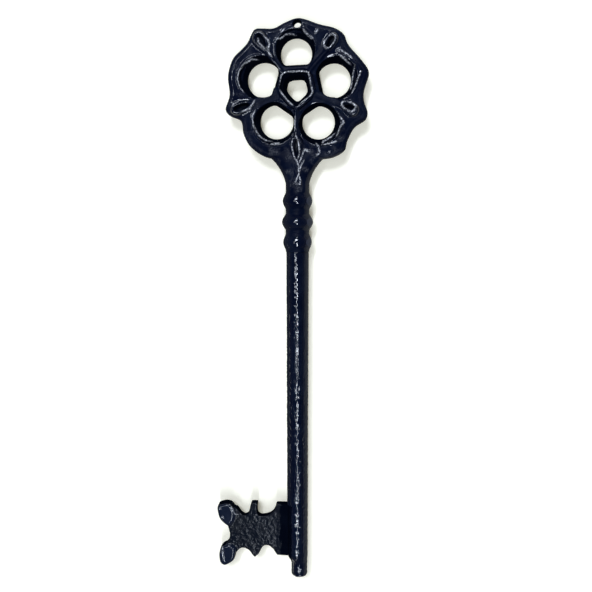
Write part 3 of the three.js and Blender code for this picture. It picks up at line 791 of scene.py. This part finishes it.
def inside_hub(plan):
    """Marks the places within the hub's ridge: a walk round its corners has them on its right."""
    within = np.ones(len(plan), bool)
    for (ax, ay), (bx, by) in zip(HUB_CORNERS, HUB_CORNERS[1:] + HUB_CORNERS[:1]):
        within &= (bx - ax) * (plan[:, 1] - ay) - (by - ay) * (plan[:, 0] - ax) < 0
    return within


# %% Edge, neck and dim ribs
EDGE_REACH = 24
EDGE_TILT = 0.02
EDGE_RISE = 0.25
TOP_RISE = 0.7
TOP_START = 20
NECK_START = -32
NECK_RAGGED = 4
NECK_HALF = 14
BAR_HALF = 8.5
BAR_ENDS = (8.2, 12.5)
DIM_HALF = 3.0


def outer_edge(plan, normals, heights):
    """Marks the rounded outer edge of the bow, which climbs higher at the top petal."""
    away = np.hypot(*plan.T)
    outwards = (plan * normals[:, :2]).sum(axis=1) / away
    limit = LAND_Z + np.where(plan[:, 1] > TOP_START, TOP_RISE, EDGE_RISE) * MM
    return (away > EDGE_REACH) & (outwards > EDGE_TILT) & (heights < limit)


def neck_part(plan, middles):
    """Marks the neck, from a ragged line downwards."""
    start = NECK_START + NECK_RAGGED * waves(middles, 4 * MM, 12)
    return (plan[:, 1] < start) & (np.abs(plan[:, 0]) < NECK_HALF)


def bar_above_hub(plan):
    """Marks the broad bar between the hub and the top petal's hole."""
    return (np.abs(plan[:, 0]) < BAR_HALF) & (plan[:, 1] > BAR_ENDS[0]) & (plan[:, 1] < BAR_ENDS[1])


middles, normals = read_faces(bow)
plan = plan_view(middles)
front = middles[:, 2] > MID_Z
edge = outer_edge(plan, normals, middles[:, 2]) | neck_part(plan, middles)
dim = front & (bar_above_hub(plan) | (near_lines(plan, DIM_RIBS, DIM_HALF) > 0))
hollows = front & (loop_hollows(plan) | inside_hub(plan))
paint_faces(bow, edge | dim, groove_paint)
# Painted shade on the walls of the holes, the hollows of the loops and the inside of the hub.
paint_faces(bow, hole_walls(plan, normals) | hollows, painted_shade)

# %% [markdown]
# ## Flanks of what is turned
#
# On the neck, the beads and the shank the paint shines only along the top. Their left flank is dusty, and
# their right one is worn to a softer sheen. How upright a face stands says on which part of the round it
# lies. On a dented bar each dent would upset that reading, so there it is taken from the face's place
# about the axis instead.

# %% Flanks
LEFT_FLANK = 0.74
RIGHT_FLANK = 0.75
NECK_FLANKS_END = NECK_Y + 20 * MM
NEAR_AXIS = 0.8 * MM


def round_slope(piece):
    """How upright each face of a round piece would be without its dents: 1 on its crest and 0 on its side."""
    middles = read_faces(piece)[0]
    x, z = middles[:, 0] - AXIS_X, middles[:, 2] - MID_Z
    return np.abs(z) / np.maximum(np.hypot(x, z), NEAR_AXIS)


def paint_flanks(piece, upright, below=math.inf):
    """Dusty paint on the left flank and worn paint on the right one, as far up the key as asked."""
    middles = read_faces(piece)[0]
    low = middles[:, 1] < below
    left = middles[:, 0] < AXIS_X
    paint_faces(piece, low & left & (upright < LEFT_FLANK), dusty_paint)
    paint_faces(piece, low & ~left & (upright < RIGHT_FLANK), flank_paint)


paint_flanks(bow, np.abs(read_faces(bow)[1][:, 2]), NECK_FLANKS_END)

# %% [markdown]
# ## The beads
#
# Three beads stand on the shank below the bow, each a swelling with a fillet on both sides.
# A turned form is best made as it is on a lathe: the four corners of its half outline are spun about the
# axis. The outer edge is subdivided first, so that the sleeve has rings that can then be swelled into a bead.
# The swelling comes from one cosine raised to a power, which makes a bead fuller than a plain wave. The
# plain necks between the beads get the paint of the grooves, and the right side of each bead gets a paler
# band of painted reflection.

# %% Turning helpers
TURNS = 96
TOUCH = 0.01 * MM


def turned(corners, cuts, turns=TURNS):
    """Spins a closed outline of (radius, y) corners about the key's length, with cuts after some corners."""
    bm = bmesh.new()
    points = [bm.verts.new((AXIS_X + r, y, MID_Z)) for r, y in corners]
    edges = [bm.edges.new((a, b)) for a, b in zip(points, points[1:] + points[:1])]
    for corner, count in cuts.items():
        bmesh.ops.subdivide_edges(bm, edges=[edges[corner]], cuts=count)
    bmesh.ops.spin(
        bm, geom=bm.verts[:] + bm.edges[:], cent=(AXIS_X, 0, MID_Z), axis=(0, 1, 0), angle=2 * math.pi,
        steps=turns, use_merge=True, use_duplicate=False,
    )
    bmesh.ops.remove_doubles(bm, verts=bm.verts, dist=MERGE)
    bmesh.ops.recalc_face_normals(bm, faces=bm.faces)
    return bm


def reshape(bm, old_radius, new_radius):
    """Moves every point that lies on one radius to the radius that a rule gives for its place."""
    for v in bm.verts:
        x, z = v.co.x - AXIS_X, v.co.z - MID_Z
        if abs(math.hypot(x, z) - old_radius) < TOUCH:
            share = new_radius(v.co.y) / old_radius
            v.co = (AXIS_X + x * share, v.co.y, MID_Z + z * share)


def end_radii(node):
    """The inner and outer radius of a collar's end face, measured on its solid."""
    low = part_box(node)[0]
    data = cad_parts[node].data
    ends = [v.co for v in data.vertices if v.co.y < low.y + TOUCH]
    radii = [math.hypot(p.x - AXIS_X, p.z - MID_Z) for p in ends]
    return min(radii), max(radii)


# %% Beads
BEAD_HALF = 4.3 * MM
BEAD_POWER = 0.62
BEAD_RINGS = 40
GROOVE_START = 2.7 * MM
SKIN = 0.01 * MM
BAND_TOP = 0.76
BAND_DROP = 0.45
BEAD_PLACES = {"lower": 0.5, "middle": 0.5, "upper": 0.54}


def bead(node, name, place_share):
    """A collar: bore, end faces, and a bead between its two plain necks."""
    low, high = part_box(node)
    bore, plain = end_radii(node)
    swell = (high.x - low.x) / 2 - plain - SKIN
    middle = low.y + (high.y - low.y) * place_share

    def radius(y):
        away = min(1, abs(y - middle) / BEAD_HALF)
        return plain + swell * (0.5 + 0.5 * math.cos(math.pi * away)) ** BEAD_POWER

    corners = [(bore, low.y), (plain, low.y), (plain, high.y), (bore, high.y)]
    bm = turned(corners, {1: BEAD_RINGS})
    reshape(bm, plain, radius)
    piece = new_piece(name, bm, collar_paint, node)
    piece.data.shade_smooth()
    middles, normals = read_faces(piece)
    away = np.abs(middles[:, 1] - middle) / GROOVE_START
    upright = np.abs(normals[:, 2])
    paint_faces(piece, away > 1, groove_paint)
    paint_flanks(piece, upright)
    # A paler band of painted reflection on the right side of each bead.
    paint_faces(piece, (normals[:, 0] > 0) & (upright < BAND_TOP - BAND_DROP * away ** 2), reflection_band_paint)
    print("%s: bead radius %.2f mm on a neck of %.2f mm" % (name, (plain + swell) / MM, plain / MM))


for part, place_share in BEAD_PLACES.items():
    bead("collar_" + part, "bead_" + part, place_share)

# %% [markdown]
# ## The shank
#
# The shank is a plain bar whose surface ripples, because the mould was sand, so its long highlight wavers.
# It is turned in the same way, with rings close enough together to carry the ripples. The tip is narrower
# and stands off the axis. It is shaped by drawing in the last rings and sliding them sideways. Towards the
# tip the bar is dimpled too. Such dimples could be a bump in the paint, but a bump finer than the picture's
# dots only blurs the highlight, so they are real dents.

# %% Shank
RING_GAP = 0.34 * MM
SHANK_TURNS = 160
SPIGOT = 3.3 * MM
SHOULDER_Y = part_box("collar_lower")[0].y
BAR_TOP = 5.93 * MM
BAR_FOOT = 5.8 * MM
TIP_RADIUS = 4.55 * MM
TIP_SHIFT = 1.1 * MM
TIP_STRAIGHT = 7 * MM
TIP_TAPER = 6 * MM
TIP_ROUND = 1.6 * MM
TIP_RINGS = 8
TIP_CURVE = ([0, 0.2, 0.45, 0.7, 0.88, 1], [1, 0.94, 0.68, 0.28, 0.06, 0])


def worn(y):
    """How far the bar has drawn in to its tip at a place on its length, from 0 to 1."""
    return float(np.interp((y - shank_low.y - TIP_STRAIGHT) / TIP_TAPER, *TIP_CURVE))


def bar_radius(y):
    """Radius of the bar at a place on its length, down to the rounded tip."""
    up = y - shank_low.y
    along = (SHOULDER_Y - y) / (SHOULDER_Y - shank_low.y)
    radius = BAR_TOP + (BAR_FOOT - BAR_TOP) * along
    radius += (TIP_RADIUS - BAR_FOOT) * worn(y)
    if up < TIP_ROUND:
        radius -= TIP_ROUND - math.sqrt(max(0, TIP_ROUND ** 2 - (TIP_ROUND - up) ** 2))
    return radius


shank_corners = [
    (0, shank_high.y), (SPIGOT, shank_high.y), (SPIGOT, SHOULDER_Y), (BAR_TOP, SHOULDER_Y),
    (BAR_TOP, shank_low.y + TIP_ROUND), (BAR_TOP, shank_low.y), (0, shank_low.y),
]
bar_rings = round((SHOULDER_Y - shank_low.y - TIP_ROUND) / RING_GAP)
shank_mesh = turned(shank_corners, {3: bar_rings, 4: TIP_RINGS}, SHANK_TURNS)
reshape(shank_mesh, BAR_TOP, bar_radius)
for v in shank_mesh.verts:
    v.co.x += TIP_SHIFT * worn(v.co.y)
shank = new_piece("shank_bar", shank_mesh, shank_paint, "shank")
shank.data.shade_smooth()
print("shank:", len(shank.data.polygons), "faces")

# %% Dents and paint of the shank
DIMPLES_START = 30 * MM
DIMPLES_FULL = -30 * MM
SHADE_EDGE = 2.7 * MM
SHADE_RAGGED = 0.5 * MM

roughen(shank, 0.06, 11, 5)
roughen(shank, 0.06, 2.2, 8)
roughen(shank, 0.23, 1.2, 9, ramp(read_points(shank)[0][:, 1], DIMPLES_START, DIMPLES_FULL))
paint_flanks(shank, round_slope(shank))
middles = read_faces(shank)[0]
# The left side of the shank beside the bit gets painted shadow.
beside_bit = (middles[:, 1] > bit_low.y) & (middles[:, 1] < bit_high.y)
shaded = middles[:, 0] < AXIS_X - SHADE_EDGE + SHADE_RAGGED * waves(middles, 3 * MM, 13)
paint_faces(shank, beside_bit & shaded, painted_shade)

# %% [markdown]
# ## The bit
#
# The bit is a thin plate with arches and teeth along both edges, and a fat lobe at each outer corner. Its
# sand-cast sides are the roughest surface of the key, so it gets the coarsest paint and real pits. The strip
# beside the shank and the steep sides of the plate get painted shade. The lobes are smooth and shine more,
# and a few low ridges on them are painted pale, for worn paint and painted highlights. A face belongs to a
# lobe if it lies close, seen from the front, to what is thicker than the web.

# %% Bit
BIT_VOXEL = 0.33 * MM
WEB_HALF = 2.2 * MM
LOBE_RISE = 0.5 * MM
PITS_BY_LOBES = (0, 1.5)
PITS_BY_SHANK = (3, 6)
LOBE_MARK_ENDS = (0.412, 1)
# The lines are in millimetres from the rosette's middle, as on the bow.
LOBE_RIDGES = {
    "lower lobe, left edge": ([(-41.9, -246.4), (-42.0, -250.6), (-41.3, -256.6)], 0.7, 0.3),
    "upper lobe, middle": (
        [(-38.6, -222.0), (-36.9, -223.1), (-35.6, -225.4), (-34.5, -228.6), (-32.2, -228.5)], 0.6, 0.35),
    "upper lobe, corner": ([(-43.4, -224.3), (-42.6, -225.4)], 0.8, 0.3),
    "upper lobe, foot": ([(-42.1, -229.5), (-41.3, -230.6)], 0.8, 0.3),
}


def from_lobes(places):
    """How far each place is, seen from the front, from the closest place on a lobe, in millimetres."""
    chosen = np.abs(places[:, 2] - MID_Z) > WEB_HALF + LOBE_RISE
    tree = KDTree(int(chosen.sum()))
    for i, (x, y) in enumerate(places[chosen, :2]):
        tree.insert((x, y, 0), i)
    tree.balance()
    return np.array([tree.find((x, y, 0))[2] for x, y in places[:, :2]]) / MM


def from_shank(places):
    """How far each place is from the side of the shank, in millimetres."""
    return (shank_low.x - places[:, 0]) / MM


bit = new_piece("bit_casting", copy_of("bit"), bit_paint, "bit")
recast(bit, BIT_VOXEL, CAST_PASSES)
points = read_points(bit)[0]
pitted = ramp(from_lobes(points), *PITS_BY_LOBES) * ramp(from_shank(points), *PITS_BY_SHANK)
roughen(bit, 0.12, 2.1, 7, pitted)
roughen(bit, 0.10, 1.1, 8, pitted)
# The low ridges on the lobes are painted pale: worn paint and painted highlights.
mark_wear_and_highlight(bit, ramp(raise_ridges(bit, LOBE_RIDGES), *LOBE_MARK_ENDS))
print("bit:", len(bit.data.polygons), "faces")

# %% Paint of the bit
LOBE_NEAR = 0.5
FRONT_TILT = 0.3
SIDE_TILT = 0.35
SHADE_STRIP_WIDTH = 3.4
SHADE_STRIP_RAGGED = 1.6

middles, normals = read_faces(bit)
paint_faces(bit, (from_lobes(middles) < LOBE_NEAR) & (normals[:, 2] > FRONT_TILT), lobe_paint)
# Painted shade on the strip beside the shank and on the steep sides of the bit.
beside_shank_shade = from_shank(middles) < SHADE_STRIP_WIDTH + SHADE_STRIP_RAGGED * waves(middles, 5 * MM, 11)
paint_faces(bit, beside_shank_shade | (np.abs(normals[:, 2]) < SIDE_TILT), painted_shade)
